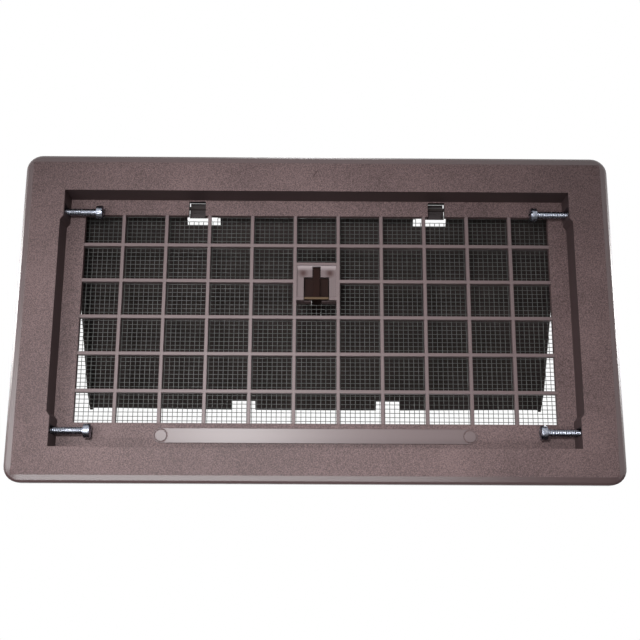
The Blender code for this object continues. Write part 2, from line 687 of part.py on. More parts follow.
def make_damper(parts, guides):
    """Swinging damper. Built closed, hanging from its hinge line at the object's origin."""
    front_axes = ((1.0, 0.0, 0.0), (0.0, 0.0, 1.0))
    middle = (0.0, DAMPER_OFFSET + DAMPER_THICKNESS / 2.0, 0.0)
    damper = outline_solid("damper", damper_outline(), DAMPER_THICKNESS, front_axes, middle, parts)
    half = DAMPER_WIDTH / 2.0
    rib_front = -(HINGE_SETBACK - SCREEN_WARP_THICKNESS - 2.0 * GAP)
    tip = -DAMPER_LENGTH - DAMPER_RIB_FOOT
    rib_profile = [
        (DAMPER_BACK, 0.0),
        (0.0, 0.0),
        (rib_front, -HINGE_BAR_RADIUS),
        (rib_front, tip + 3.0 * DAMPER_OFFSET),
        (DAMPER_OFFSET - DAMPER_THICKNESS, tip),
        (DAMPER_BACK, tip),
    ]
    for side in (-1, 1):
        rib_x = side * (half - DAMPER_RIB_THICKNESS / 2.0)
        rib = outline_solid(
            f"side_rib_{side}", rib_profile, DAMPER_RIB_THICKNESS,
            ((0.0, 1.0, 0.0), (0.0, 0.0, 1.0)), (rib_x, 0.0, 0.0), guides,
        )
        boolean(damper, rib, "UNION")
    top_rib = boxes(
        "top_rib",
        [((-half, 0.0, -DAMPER_RIB_THICKNESS / 2.0), (half, DAMPER_BACK, DAMPER_RIB_THICKNESS / 2.0))], guides
    )
    boolean(damper, top_rib, "UNION")

    windows = []
    for side in (-1, 1):
        low = min(side * WINDOW_INNER_X, side * WINDOW_OUTER_X)
        high = max(side * WINDOW_INNER_X, side * WINDOW_OUTER_X)
        windows.append(((low, -DAMPER_BACK, -WINDOW_LENGTH), (high, DAMPER_BACK + CUT, DAMPER_BACK)))
    boolean(damper, boxes("windows", windows, guides), "DIFFERENCE")
    bar = cylinder(
        "hinge_bar", HINGE_BAR_RADIUS, (-half + DAMPER_RIB_THICKNESS / 2.0, 0.0, 0.0),
        (half - DAMPER_RIB_THICKNESS / 2.0, 0.0, 0.0), guides,
    )
    boolean(damper, bar, "UNION")

    slot = outline_solid(
        "stem_slot", stem_slot(), DAMPER_THICKNESS + 2.0 * CUT, front_axes, middle, guides
    )
    boolean(damper, slot, "DIFFERENCE")

    drop, depth = coil_centre()
    for side in (-1, 1):
        inner = COIL_WIDTH / 2.0 + GAP
        ear_x = side * (inner + EAR_THICKNESS / 2.0)
        foot = EAR_RADIUS
        outline = [
            (DAMPER_BACK - GAP, -drop - foot),
            *arc((depth, -drop), EAR_RADIUS, -90.0, 90.0, 8),
            (DAMPER_BACK - GAP, -drop + foot),
        ]
        ear = outline_solid(
            f"ear_{side}", outline, EAR_THICKNESS,
            ((0.0, 1.0, 0.0), (0.0, 0.0, 1.0)), (ear_x, 0.0, 0.0), guides,
        )
        boolean(damper, ear, "UNION")
    reach = COIL_WIDTH / 2.0 + EAR_THICKNESS + 2.0 * CUT
    bore = cylinder("ear_bore", PIN_RADIUS + GAP, (-reach, depth, -drop), (reach, depth, -drop), guides)
    boolean(damper, bore, "DIFFERENCE")

    damper.location = (0.0, HINGE_Y, HINGE_Z)
    damper.rotation_euler = (OPEN_ANGLE, 0.0, 0.0)
    return damper


def in_damper_frame(y, z, opening):
    """A point of the vent as (distance down the damper, distance behind its hinge line)."""
    back = y - HINGE_Y
    down = HINGE_Z - z
    return (
        back * math.sin(opening) + down * math.cos(opening),
        back * math.cos(opening) - down * math.sin(opening),
    )


def stem_width(y):
    """The stem narrows from the housing to its fork."""
    share = min(max((y - STEM_START_Y) / (FORK_BLOCK_Y - STEM_START_Y), 0.0), 1.0)
    return ARM_STEM_FRONT_WIDTH + (ARM_STEM_REAR_WIDTH - ARM_STEM_FRONT_WIDTH) * share


def stem_slot():
    """Outline of the damper's slot, as wide as the stem is where each angle brings the damper."""
    below = HINGE_Z - ARM_BOTTOM_Z
    above = below - ARM_STEM_HEIGHT
    edge = []
    for step in range(SLOT_STEPS + 1):
        angle = OPEN_ANGLE * step / SLOT_STEPS
        end = (below + DAMPER_BACK * math.sin(angle)) / math.cos(angle) + GAP
        crossing = HINGE_Y + (DAMPER_OFFSET + above * math.sin(angle)) / math.cos(angle)
        edge.append((stem_width(crossing) / 2.0 + GAP, -end))
    right = [(edge[0][0], GAP - above), *edge]
    return [(-x, z) for x, z in right] + right[::-1]


def coil_centre():
    """The coil sits as far from the link at the closed pose as at the open one."""
    open_point = in_damper_frame(LINK_Y, LINK_Z, OPEN_ANGLE)
    closed_point = in_damper_frame(LINK_Y, LINK_Z, 0.0)
    middle_angle = (math.atan2(*reversed(open_point)) + math.atan2(*reversed(closed_point))) / 2.0
    return COIL_OFFSET / math.tan(middle_angle), COIL_OFFSET


def make_arm(parts, guides):
    """Control arm: tab, web and cross plate at the keyhole, tapered stem and fork behind."""
    bottom = ARM_BOTTOM_Z
    side_axes = ((0.0, 1.0, 0.0), (0.0, 0.0, 1.0))
    plan_axes = ((1.0, 0.0, 0.0), (0.0, 1.0, 0.0))
    front = ARM_STEM_FRONT_WIDTH / 2.0
    rear = ARM_STEM_REAR_WIDTH / 2.0
    flange = [
        (-front, STEM_START_Y),
        (front, STEM_START_Y),
        (rear, FORK_BLOCK_Y),
        (rear, LINK_Y + FORK_OVERRUN),
        (-rear, LINK_Y + FORK_OVERRUN),
        (-rear, FORK_BLOCK_Y),
    ]
    arm = outline_solid(
        "control_arm", flange, ARM_STEM_FLANGE, plan_axes,
        (0.0, 0.0, bottom + ARM_STEM_FLANGE / 2.0), parts,
    )

    half_tab = ARM_TAB_WIDTH / 2.0
    tab_front = FLOOR_Y - ARM_TAB_REACH
    tab = boxes(
        "tab",
        [((-half_tab, tab_front, bottom), (half_tab, tab_front + ARM_TAB_LENGTH, bottom + ARM_TAB_THICKNESS))],
        guides,
    )
    boolean(arm, tab, "UNION")
    half_cross = ARM_CROSS_WIDTH / 2.0
    cross_top = KEYHOLE_BOTTOM_Z + KEYHOLE_HEIGHT - GAP
    cross = boxes(
        "cross_plate",
        [((-half_cross, STEM_START_Y, KEYHOLE_BOTTOM_Z + GAP),
          (half_cross, STEM_START_Y + ARM_CROSS_THICKNESS, cross_top))],
        guides,
    )
    boolean(arm, cross, "UNION")

    slot_top = KEYHOLE_BOTTOM_Z + KEYHOLE_HEIGHT + KEYHOLE_SLOT_HEIGHT - GAP
    web_front = FLOOR_Y + GAP
    web_back = web_front + ARM_WEB_LENGTH
    stem_top = bottom + ARM_STEM_HEIGHT
    web_profile = [
        (web_front, bottom + GAP),
        (web_back, bottom + GAP),
        (web_back, stem_top),
        (web_back - ARM_WEB_THICKNESS / 2.0, slot_top),
        (web_front + ARM_WEB_THICKNESS / 2.0, slot_top),
    ]
    web = outline_solid("web", web_profile, ARM_WEB_THICKNESS, side_axes, (0.0, 0.0, 0.0), guides)
    boolean(arm, web, "UNION")

    stem_web = boxes(
        "stem_web",
        [((-ARM_STEM_WEB / 2.0, web_front + ARM_WEB_LENGTH / 2.0, bottom + GAP),
          (ARM_STEM_WEB / 2.0, FORK_BLOCK_Y + CUT, stem_top - GAP))],
        guides,
    )
    boolean(arm, stem_web, "UNION")
    block = boxes(
        "fork_block",
        [((-rear, FORK_BLOCK_Y, bottom + ARM_STEM_FLANGE / 2.0), (rear, LINK_Y + FORK_OVERRUN, stem_top))], guides
    )
    boolean(arm, block, "UNION")
    fork = boxes(
        "fork_gap",
        [((-FORK_GAP / 2.0, LINK_Y + FORK_OVERRUN - FORK_LENGTH, bottom - CUT),
          (FORK_GAP / 2.0, LINK_Y + FORK_OVERRUN + CUT, stem_top + CUT))],
        guides,
    )
    boolean(arm, fork, "DIFFERENCE")
    return arm


def coil_path():
    """Centre line of the bimetal strip as (depth, height) about its pin, from the inner end out."""
    drop, depth = coil_centre()
    link_drop, link_depth = in_damper_frame(LINK_Y, LINK_Z, OPEN_ANGLE)
    reach = math.hypot(link_drop - drop, link_depth - depth)
    bearing = math.atan2(link_depth - depth, link_drop - drop)
    leg_angle = bearing - math.asin(COIL_OUTER_RADIUS / reach)
    start_angle = leg_angle + math.pi / 2.0
    steps = round(COIL_TURNS * COIL_STEPS_PER_TURN)
    path = []
    for step in range(steps + 1):
        share = step / steps
        angle = start_angle + 2.0 * math.pi * COIL_TURNS * (1.0 - share)
        radius = COIL_INNER_RADIUS + (COIL_OUTER_RADIUS - COIL_INNER_RADIUS) * share
        path.append((radius * math.sin(angle), -radius * math.cos(angle)))
    leg = math.sqrt(reach ** 2 - COIL_OUTER_RADIUS ** 2) + COIL_TONGUE_OVERRUN
    tip = (path[-1][0] + leg * math.sin(leg_angle), path[-1][1] - leg * math.cos(leg_angle))
    return [*path, tip], leg_angle, leg


def strip_outline(path, thickness):
    """Both edges of a strip that follows a path."""
    left = []
    right = []
    for index, point in enumerate(path):
        before = Vector(path[max(index - 1, 0)])
        after = Vector(path[min(index + 1, len(path) - 1)])
        along = (after - before).normalized()
        across = Vector((-along.y, along.x)) * thickness / 2.0
        left.append(tuple(Vector(point) + across))
        right.append(tuple(Vector(point) - across))
    return left + right[::-1]


def make_coil(parts, guides, damper):
    """Bimetal coil whose long leg ends as a tongue in the arm's fork."""
    path, leg_angle, leg = coil_path()
    axes = ((0.0, 1.0, 0.0), (0.0, 0.0, 1.0))
    coil = outline_solid(
        "thermostat_coil", strip_outline(path, COIL_STRIP), COIL_WIDTH, axes, (0.0, 0.0, 0.0), parts
    )
    root = path[-2]
    start = leg - COIL_TONGUE_LENGTH
    trims = []
    for side in (-1, 1):
        low_x = COIL_TONGUE_WIDTH / 2.0
        high_x = COIL_WIDTH / 2.0 + CUT
        near, far = sorted((side * low_x, side * high_x))
        trims.append(((near, -COIL_STRIP - CUT, -leg - CUT), (far, COIL_STRIP + CUT, -start)))
    trim = boxes("tongue_trims", trims, guides)
    trim.data.transform(Matrix.Rotation(leg_angle, 4, "X"))
    trim.data.transform(Matrix.Translation((0.0, root[0], root[1])))
    boolean(coil, trim, "DIFFERENCE")
    drop, depth = coil_centre()
    trim.parent = coil
    coil.location = (0.0, depth, -drop)
    return coil


def make_pin(parts):
    """Steel pin through the damper's ears and the coil's eye."""
    reach = COIL_WIDTH / 2.0 + GAP + EAR_THICKNESS + PIN_OVERHANG
    pin = cylinder("coil_pin", PIN_RADIUS, (-reach, 0.0, 0.0), (reach, 0.0, 0.0), parts)
    drop, depth = coil_centre()
    pin.location = (0.0, depth, -drop)
    return pin


def make_screw(name, side, z, parts, guides):
    """One clamping screw, modelled along Z and laid along X with its head inside the recess."""
    shank = SCREW_SHANK_RADIUS
    head = SCREW_HEAD_RADIUS
    top = SCREW_HEAD_LENGTH
    profile = [
        (0.0, top),
        (head - SCREW_HEAD_ROUNDING, top),
        (head - SCREW_HEAD_ROUNDING / 3.0, top - SCREW_HEAD_ROUNDING / 3.0),
        (head, top - SCREW_HEAD_ROUNDING),
        (head, 0.0),
        (shank, 0.0),
        (shank, -SCREW_SHANK_LENGTH + SCREW_POINT),
        (shank - SCREW_POINT, -SCREW_SHANK_LENGTH),
        (0.0, -SCREW_SHANK_LENGTH),
    ]
    screw = turned(name, profile, parts)
    slot = boxes(
        f"slot_{name}",
        [((-head - CUT, -SCREW_SLOT_WIDTH / 2.0, top - SCREW_SLOT_DEPTH),
          (head + CUT, SCREW_SLOT_WIDTH / 2.0, top + CUT))],
        guides,
    )
    boolean(screw, slot, "DIFFERENCE")
    slot.parent = screw
    boss_face = MOUTH_WIDTH / 2.0 - BOSS_THICKNESS - RECESS_DRAFT
    under_head = boss_face - SCREW_BACKED_OUT
    screw.location = (side * under_head, FLOOR_Y - SCREW_FROM_FLOOR, z)
    screw.rotation_euler = (0.0, -side * math.pi / 2.0, 0.0)
    return screw


def main():
    for item in list(bpy.data.objects):
        bpy.data.objects.remove(item)
    parts = new_collection("foundation_vent")
    guides = new_collection("cutters")

    brown = plain_material("brown_moulded_plastic", "#6E5C59", 0.55)
    dark = plain_material("dark_moulded_plastic", "#2E2422", 0.6)
    arm_brown = plain_material("dark_arm_plastic", "#3F2D28", 0.35)
    wire = plain_material("grey_screen_wire", "#7C7A78", 0.5, 0.6)
    zinc = plain_material("zinc_plated_steel", "#B9BEC6", 0.3, 1.0)
    bimetal = plain_material("bimetal_strip", "#9C8F7A", 0.35, 1.0)

    centre = bpy.data.objects.new("vent_centre", None)
    centre.location = (0.0, 0.0, CENTRE_Z)
    parts.objects.link(centre)

    finish(make_body(parts, guides), brown, centre)
    finish(make_screen(parts, guides), wire, centre)
    damper = make_damper(parts, guides)
    finish(damper, dark, centre)
    finish(make_arm(parts, guides), arm_brown, centre)
    finish(make_coil(parts, guides, damper), bimetal, damper)
    finish(make_pin(parts), zinc, damper)
    for name, side, z in screw_rows():
        finish(make_screw(name, side, z, parts, guides), zinc, centre)
    owners = {modifier.object: item for item in parts.objects for modifier in item.modifiers}
    for guide in guides.objects:
        if guide.parent is None:
            guide.parent = owners[guide]


main()
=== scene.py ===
# %% [markdown]
# # Foundation vent
# This vent sits in an opening of a crawl space wall. A flange covers the masonry, a recess behind it holds
# a grille of bars, and behind the grille are a wire screen and a damper that a bimetal coil swings open.
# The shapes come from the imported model, which is loaded as a fixed frame. What this file adds is the look:
# finishes for the mouldings, a woven screen, threaded screws, the light and the camera.

import math

import bmesh
import bpy
from mathutils import Matrix, Vector


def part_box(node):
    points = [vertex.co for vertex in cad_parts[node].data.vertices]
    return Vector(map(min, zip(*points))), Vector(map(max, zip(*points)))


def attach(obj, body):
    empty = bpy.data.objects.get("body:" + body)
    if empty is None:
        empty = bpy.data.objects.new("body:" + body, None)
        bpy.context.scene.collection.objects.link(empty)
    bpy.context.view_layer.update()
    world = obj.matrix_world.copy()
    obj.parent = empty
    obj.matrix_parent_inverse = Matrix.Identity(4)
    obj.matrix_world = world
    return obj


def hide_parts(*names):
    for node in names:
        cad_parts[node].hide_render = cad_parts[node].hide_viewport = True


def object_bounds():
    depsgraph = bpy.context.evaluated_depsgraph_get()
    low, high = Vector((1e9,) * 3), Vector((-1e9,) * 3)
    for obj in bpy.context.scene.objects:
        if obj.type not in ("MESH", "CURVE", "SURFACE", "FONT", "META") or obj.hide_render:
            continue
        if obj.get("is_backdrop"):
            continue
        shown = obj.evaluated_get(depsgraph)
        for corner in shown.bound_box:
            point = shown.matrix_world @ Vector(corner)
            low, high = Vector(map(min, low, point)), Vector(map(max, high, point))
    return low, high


MM = 0.001
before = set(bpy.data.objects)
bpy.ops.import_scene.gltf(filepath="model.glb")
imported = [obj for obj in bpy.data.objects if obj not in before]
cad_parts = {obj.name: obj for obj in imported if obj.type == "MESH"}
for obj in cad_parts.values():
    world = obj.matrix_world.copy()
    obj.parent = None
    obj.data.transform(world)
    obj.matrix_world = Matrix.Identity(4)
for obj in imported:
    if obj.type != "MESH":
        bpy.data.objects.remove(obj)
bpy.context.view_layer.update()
vent_low, vent_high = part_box("vent_body")
FLANGE_RISE = 0.4 * MM          # the flange reaches a little further above the grille than below it
CENTRE_Z = (vent_low.z + vent_high.z) / 2.0 - FLANGE_RISE
print("loaded", len(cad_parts), "nodes, centre height", round(CENTRE_Z / MM, 2), "mm")

# %% [markdown]
# ## Colours and nodes
# Paint charts and screens give colours as sRGB codes, while a shader works with linear light. One function
# turns the first into the second. A second function adds a node, fills its sockets and links them, so that
# a finish reads from top to bottom like a recipe. Writing out each node by hand would hide the recipe.

# %% Turn an sRGB code into linear light
def linear(code):
    """Turn a colour such as #6E5C59 into the linear values of a shader."""
    channels = [int(code[i:i + 2], 16) / 255.0 for i in (1, 3, 5)]
    toned = [c / 12.92 if c <= 0.04045 else ((c + 0.055) / 1.055) ** 2.4 for c in channels]
    return (*toned, 1.0)


print("mid grey is", [round(c, 3) for c in linear("#808080")[:3]])

# %% Add a node with its settings and links
def add_node(tree, kind, sockets=None, **settings):
    """Add one node. A socket takes a plain value or the output of another node."""
    item = tree.nodes.new("ShaderNode" + kind)
    for key, value in settings.items():
        setattr(item, key, value)
    for key, value in (sockets or {}).items():
        if isinstance(value, bpy.types.NodeSocket):
            tree.links.new(value, item.inputs[key])
        else:
            item.inputs[key].default_value = value
    return item


def new_finish(name):
    """Start a material and give back its tree, its shader and the place on the surface in metres."""
    material = bpy.data.materials.new(name)
    material.use_nodes = True
    tree = material.node_tree
    place = add_node(tree, "TexCoord").outputs["Object"]
    return material, tree, tree.nodes["Principled BSDF"], place


def laid_over(tree, mask, under, colour):
    """The colour underneath, covered by another one where the mask is 1."""
    cover = add_node(tree, "Mix", {"Factor": mask, 6: under, 7: colour}, data_type="RGBA")
    return cover.outputs[2]


def set_over(tree, mask, elsewhere, here):
    """One plain value elsewhere, and another one where the mask is 1."""
    return add_node(tree, "Mix", {"Factor": mask, "A": elsewhere, "B": here}).outputs[0]


print("helpers ready")

# %% [markdown]
# ## The camera
# The photograph was taken from just below the vent, about 0.7 m in front of it, and tilted up by 14 degrees.
# The tilt, the height and the lens were worked out from the corners of the flange and the crossings of the
# bars. The camera could be aimed at a target by a constraint, but a matrix made of its three axes also holds
# the slight roll.

# %% Build the camera from its three axes
CAMERA_PLACE = Vector((-0.767, -704.106, -176.426)) * MM + Vector((0.0, 0.0, CENTRE_Z))
CAMERA_PITCH = math.radians(13.8867)
CAMERA_YAW = math.radians(0.2813)
CAMERA_ROLL = math.radians(0.260)
FOCAL_PIXELS = 999.05
IMAGE_WIDTH = 640
SENSOR_MM = 36.0

forward = Vector((
    math.sin(CAMERA_YAW) * math.cos(CAMERA_PITCH),
    math.cos(CAMERA_YAW) * math.cos(CAMERA_PITCH),
    math.sin(CAMERA_PITCH),
))
level = forward.cross(Vector((0.0, 0.0, 1.0))).normalized()
upright = level.cross(forward)
right = level * math.cos(CAMERA_ROLL) + upright * math.sin(CAMERA_ROLL)
up = upright * math.cos(CAMERA_ROLL) - level * math.sin(CAMERA_ROLL)
camera = bpy.data.objects.new("camera", bpy.data.cameras.new("camera"))
bpy.context.scene.collection.objects.link(camera)
axes = Matrix((right, up, -forward)).transposed()
camera.matrix_world = Matrix.Translation(CAMERA_PLACE) @ axes.to_4x4()
camera.data.sensor_width = SENSOR_MM
camera.data.lens = FOCAL_PIXELS * SENSOR_MM / IMAGE_WIDTH
camera.data.clip_start = 0.01
bpy.context.scene.camera = camera
bpy.context.scene.view_settings.view_transform = "Standard"
print("lens", round(camera.data.lens, 2), "mm, camera at", [round(c, 3) for c in CAMERA_PLACE])

# %% [markdown]
# ## Floor and sky
# The photograph has a plain white background, and little light comes from it, so the walls of the recess stay
# dark. The sky is white where the camera or a reflection sees it, and dim where it would light the vent. The
# floor glows a little for the camera alone, so that it stays pale in views from above. Lighting it harder
# would do the same, but that light would spill on the vent.

# %% Lay a pale floor
FLOOR_Z = -0.45
FLOOR_RADIUS = 2.2
FLOOR_SIDES = 96
FLOOR_GLOW = 0.62
BOARD_SPECKLE = 25.0 * MM

floor_mesh = bpy.data.meshes.new("floor")
bm = bmesh.new()
bmesh.ops.create_circle(bm, cap_ends=True, radius=FLOOR_RADIUS, segments=FLOOR_SIDES)
bm.to_mesh(floor_mesh)
bm.free()
floor = bpy.data.objects.new("floor", floor_mesh)
floor.location.z = FLOOR_Z
bpy.context.scene.collection.objects.link(floor)
floor_finish, tree, shader, place = new_finish("pale_studio_board")
speckle = add_node(tree, "TexNoise", {"Vector": place, "Scale": 1.0 / BOARD_SPECKLE, "Detail": 3.0})
tone = add_node(tree, "ValToRGB", {"Fac": speckle.outputs["Fac"]})
tone.color_ramp.elements[0].color = linear("#E4E4E2")
tone.color_ramp.elements[1].color = linear("#EEEEEC")
path = add_node(tree, "LightPath")
glow = add_node(tree, "Math", {0: path.outputs["Is Camera Ray"], 1: FLOOR_GLOW}, operation="MULTIPLY")
tree.links.new(tone.outputs["Color"], shader.inputs["Base Color"])
tree.links.new(tone.outputs["Color"], shader.inputs["Emission Color"])
tree.links.new(glow.outputs[0], shader.inputs["Emission Strength"])
shader.inputs["Roughness"].default_value = 0.8
floor.data.materials.append(floor_finish)
floor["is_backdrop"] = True
print("floor at", FLOOR_Z, "m")

# %% A white sky that lights little
AMBIENT = 0.11

world = bpy.data.worlds.new("white_sky")
world.use_nodes = True
bpy.context.scene.world = world
sky = world.node_tree
path = add_node(sky, "LightPath")
seen = add_node(
    sky, "Math", {0: path.outputs["Is Camera Ray"], 1: path.outputs["Is Glossy Ray"]}, operation="ADD"
)
shown = add_node(
    sky, "Math", {0: seen.outputs[0], 1: path.outputs["Is Transmission Ray"]}, operation="ADD", use_clamp=True
)
strength = add_node(sky, "MapRange", {"Value": shown.outputs[0], "To Min": AMBIENT, "To Max": 1.0})
background = sky.nodes["Background"]
background.inputs["Color"].default_value = linear("#FFFFFF")
sky.links.new(strength.outputs["Result"], background.inputs["Strength"])
print("sky lights at", AMBIENT)

# %% [markdown]
# ## Lamps
# The highlights on the strip and the bars come from one small lamp close to the camera, a little to its left
# and above. The flange is brightest at its lower left, so a wider and weaker lamp stands there. The rim has
# long highlights, which only something wide can make, so two dim panels lie where the rim's slopes mirror
# them. Lamps above, beside and behind the vent serve the other views, and stand so that they hardly reach the
# recess. One large soft light would be simpler, but the recess would then lose its dark walls.

# %% Two kinds of lamp
PANEL_SPREAD = 80.0


def hang(name, light, place, target, watts):
    """Hang a lamp and point it at a target."""
    light.energy = watts
    lamp = bpy.data.objects.new(name, light)
    lamp.location = place
    lamp.rotation_euler = (Vector(target) - Vector(place)).to_track_quat("-Z", "Y").to_euler()
    bpy.context.scene.collection.objects.link(lamp)


def soft_spot(name, place, target, radius, watts, angle):
    """A round soft spot whose cone fades towards its edge."""
    light = bpy.data.lights.new(name, "SPOT")
    light.shadow_soft_size = radius
    light.spot_size = math.radians(angle)
    light.spot_blend = 1.0
    hang(name, light, place, target, watts)


def soft_panel(name, place, target, size, watts):
    """A wide flat panel, for the long highlights on the rim."""
    light = bpy.data.lights.new(name, "AREA")
    light.shape = "RECTANGLE"
    light.size, light.size_y = size
    light.spread = math.radians(PANEL_SPREAD)
    hang(name, light, place, target, watts)


print("lamps are soft spots and panels")

# %% Hang the lamps, in metres, watts and degrees
VENT_MIDDLE = (0.0, 0.05, 0.12)

soft_spot(
    "lamp_by_camera", place=(-0.133, -0.85, 0.142), target=(-0.04, 0.0, 0.01),
    radius=0.06, watts=25.0, angle=50.0,
)
soft_spot(
    "lamp_front_left", place=(-0.52, -0.70, 0.13), target=(-0.02, 0.0, 0.03),
    radius=0.20, watts=9.0, angle=50.0,
)
soft_panel("panel_left", place=(-0.88, -0.70, 0.10), target=(-0.20, 0.0, 0.06), size=(0.12, 0.36), watts=0.13)
soft_panel("panel_low", place=(-0.22, -0.95, -0.37), target=(0.0, 0.0, 0.0), size=(1.05, 0.14), watts=0.75)
for name, place in (
    ("lamp_above", (0.0, 0.30, 1.3)), ("lamp_left", (-1.1, 0.03, 0.35)), ("lamp_right", (1.1, 0.03, 0.35)),
):
    soft_spot(name, place, VENT_MIDDLE, radius=0.12, watts=18.0, angle=40.0)
soft_spot("lamp_behind", place=(0.3, 1.2, 0.55), target=VENT_MIDDLE, radius=0.2, watts=45.0, angle=50.0)

# %% [markdown]
# ## The brown moulding
# Flange, recess, bars and keyhole housing are one moulding of polypropylene, coloured brown right through.
# The steel mould has a fine spark eroded grain, so the skin is matte with a soft greyish sheen, and the
# colour has faint clouds where the melt flowed. The grain could be real geometry, but it is finer than a
# pixel, so it is a bump. Every moulded edge is slightly round and catches light, which the Bevel node
# gives without touching the mesh.

# %% Brown polypropylene with a moulded grain
MOULD_GRAIN = 0.65 * MM         # the real grain is finer, and is drawn coarser so that it shows
FLOW_CLOUDS = 60.0 * MM
EDGE_RADIUS = 0.7 * MM

brown, tree, shader, place = new_finish("brown_polypropylene")
clouds = add_node(tree, "TexNoise", {"Vector": place, "Scale": 1.0 / FLOW_CLOUDS, "Detail": 3.0})
grain = add_node(tree, "TexNoise", {"Vector": place, "Scale": 1.0 / MOULD_GRAIN, "Detail": 2.0})
both = add_node(tree, "Mix", {"Factor": 0.75, "A": clouds.outputs["Fac"], "B": grain.outputs["Fac"]})
tint = add_node(tree, "ValToRGB", {"Fac": both.outputs[0]})
tint.color_ramp.elements[0].position = 0.36
tint.color_ramp.elements[0].color = linear("#3E2F30")
tint.color_ramp.elements[1].position = 0.64
tint.color_ramp.elements[1].color = linear("#766161")
axis = add_node(tree, "SeparateXYZ", {"Vector": place})
aside = add_node(tree, "Math", {0: axis.outputs["X"]}, operation="ABSOLUTE")
print("grain", MOULD_GRAIN / MM, "mm, clouds", FLOW_CLOUDS / MM, "mm")

# %% [markdown]
# Some places of the moulding are polished in the mould and have no grain: the sloped rim of the flange, the
# walls of the recess, the bars, the bare strip with two rings under the grille, and the sunken plate round
# the keyhole. They could be pieces of their own, but on the real vent they are the same plastic, so the
# shader picks them out by their place on the vent and makes them smoother. The walls of the recess also get
# a darker tone, which is painted shade. The hooks are picked out too: they sit deep behind the notches, and
# their almost black tone is painted shade as well.

# %% Pick out places by a box
def inside(low_y, high_y, mid_z, half_z, half_x, mid_x=0.0):
    """A mask that is 1 inside a box on the middle of the vent, or inside a pair of boxes left and right."""
    across = add_node(tree, "Math", {0: aside.outputs[0], 1: mid_x, 2: half_x}, operation="COMPARE")
    above = add_node(tree, "Math", {0: axis.outputs["Z"], 1: mid_z, 2: half_z}, operation="COMPARE")
    mid_y = (low_y + high_y) / 2.0
    deep = add_node(tree, "Math", {0: axis.outputs["Y"], 1: mid_y, 2: high_y - mid_y}, operation="COMPARE")
    both = add_node(tree, "Math", {0: across.outputs[0], 1: above.outputs[0]}, operation="MULTIPLY")
    return add_node(tree, "Math", {0: both.outputs[0], 1: deep.outputs[0]}, operation="MULTIPLY").outputs[0]


print("a box is given by its depths, its middle and its half sizes")

# %% Masks of the polished places
FACE_Z = CENTRE_Z + FLANGE_RISE
FACE_HALF_WIDTH = 211.0 * MM
STRIP_Z = CENTRE_Z - 85.3 * MM
PLATE_Z = CENTRE_Z + 30.4 * MM
GRILLE_Z = CENTRE_Z + 2.65 * MM
RECESS_Z = CENTRE_Z - 0.85 * MM
HOOK_Z = CENTRE_Z + 88.0 * MM
HOOK_X = 90.6 * MM

strip = inside(low_y=11.2 * MM, high_y=11.7 * MM, mid_z=STRIP_Z, half_z=5.5 * MM, half_x=117.0 * MM)
plate = inside(low_y=12.9 * MM, high_y=13.6 * MM, mid_z=PLATE_Z, half_z=14.0 * MM, half_x=14.7 * MM)
bars = inside(low_y=11.9 * MM, high_y=17.0 * MM, mid_z=GRILLE_Z, half_z=78.9 * MM, half_x=174.6 * MM)
face = inside(low_y=-9.0 * MM, high_y=30.0 * MM, mid_z=FACE_Z, half_z=115.7 * MM, half_x=FACE_HALF_WIDTH)
rim = add_node(tree, "Math", {0: 1.0, 1: face}, operation="SUBTRACT").outputs[0]
walls = inside(low_y=-7.6 * MM, high_y=11.6 * MM, mid_z=RECESS_Z, half_z=97.0 * MM, half_x=190.5 * MM)
hooks = inside(
    low_y=12.3 * MM, high_y=40.0 * MM, mid_z=HOOK_Z, half_z=9.0 * MM, half_x=6.6 * MM, mid_x=HOOK_X
)
drawn = add_node(tree, "Math", {0: bars, 1: walls}, operation="ADD").outputs[0]
smooth_parts = add_node(tree, "Math", {0: drawn, 1: rim}, operation="ADD", use_clamp=True).outputs[0]
print("strip at", round(STRIP_Z / MM, 2), "mm, plate at", round(PLATE_Z / MM, 2), "mm")

# %% Colours of the smooth places, with painted sheen and painted shade
# The smooth places get one even tone without grain. Its lighter, greyer colour is a painted sheen, and it
# stays on the bars, which no later tone covers.
brown_tone = laid_over(tree, smooth_parts, tint.outputs["Color"], linear("#6A5B5C"))
# Painted shade: the walls of the recess get a darker tone for the shade inside the recess.
brown_tone = laid_over(tree, walls, brown_tone, linear("#433536"))
# Painted shade: the hooks deep behind the notches get an almost black tone.
brown_tone = laid_over(tree, hooks, brown_tone, linear("#241C1D"))
brown_tone = laid_over(tree, rim, brown_tone, linear("#4F3C3D"))
brown_tone = laid_over(tree, strip, brown_tone, linear("#6F6162"))
print("one tone each for the bars, walls, hooks, rim and strip")

# %% [markdown]
# The plate round the keyhole shows two dark spots beside its slot, like the sink marks that form where
# plastic draws in as it cools, and its upper end is paler, where it mirrors something bright. The hollows
# could be modelled, but they are a few hundredths of a millimetre deep, so the spots are painted shade of
# the sink marks, and the paler upper end is a painted reflection.

# %% Painted shade of the sink marks and painted reflection on the keyhole's plate
SINK_SHADE_X = 10.0 * MM
SINK_SHADE_RISE = 6.6 * MM
SINK_SHADE_CORE = 0.8 * MM
SINK_SHADE_RADIUS = 4.4 * MM
SHEEN_START = 8.5 * MM
SHEEN_END = 11.0 * MM

sideways = add_node(tree, "CombineXYZ", {"X": aside.outputs[0], "Z": axis.outputs["Z"]})
from_mark = add_node(tree, "VectorMath", {
    0: sideways.outputs[0], 1: (SINK_SHADE_X, 0.0, PLATE_Z + SINK_SHADE_RISE),
}, operation="DISTANCE")
around = add_node(tree, "MapRange", {
    "Value": from_mark.outputs["Value"], "From Min": SINK_SHADE_CORE, "From Max": SINK_SHADE_RADIUS,
})
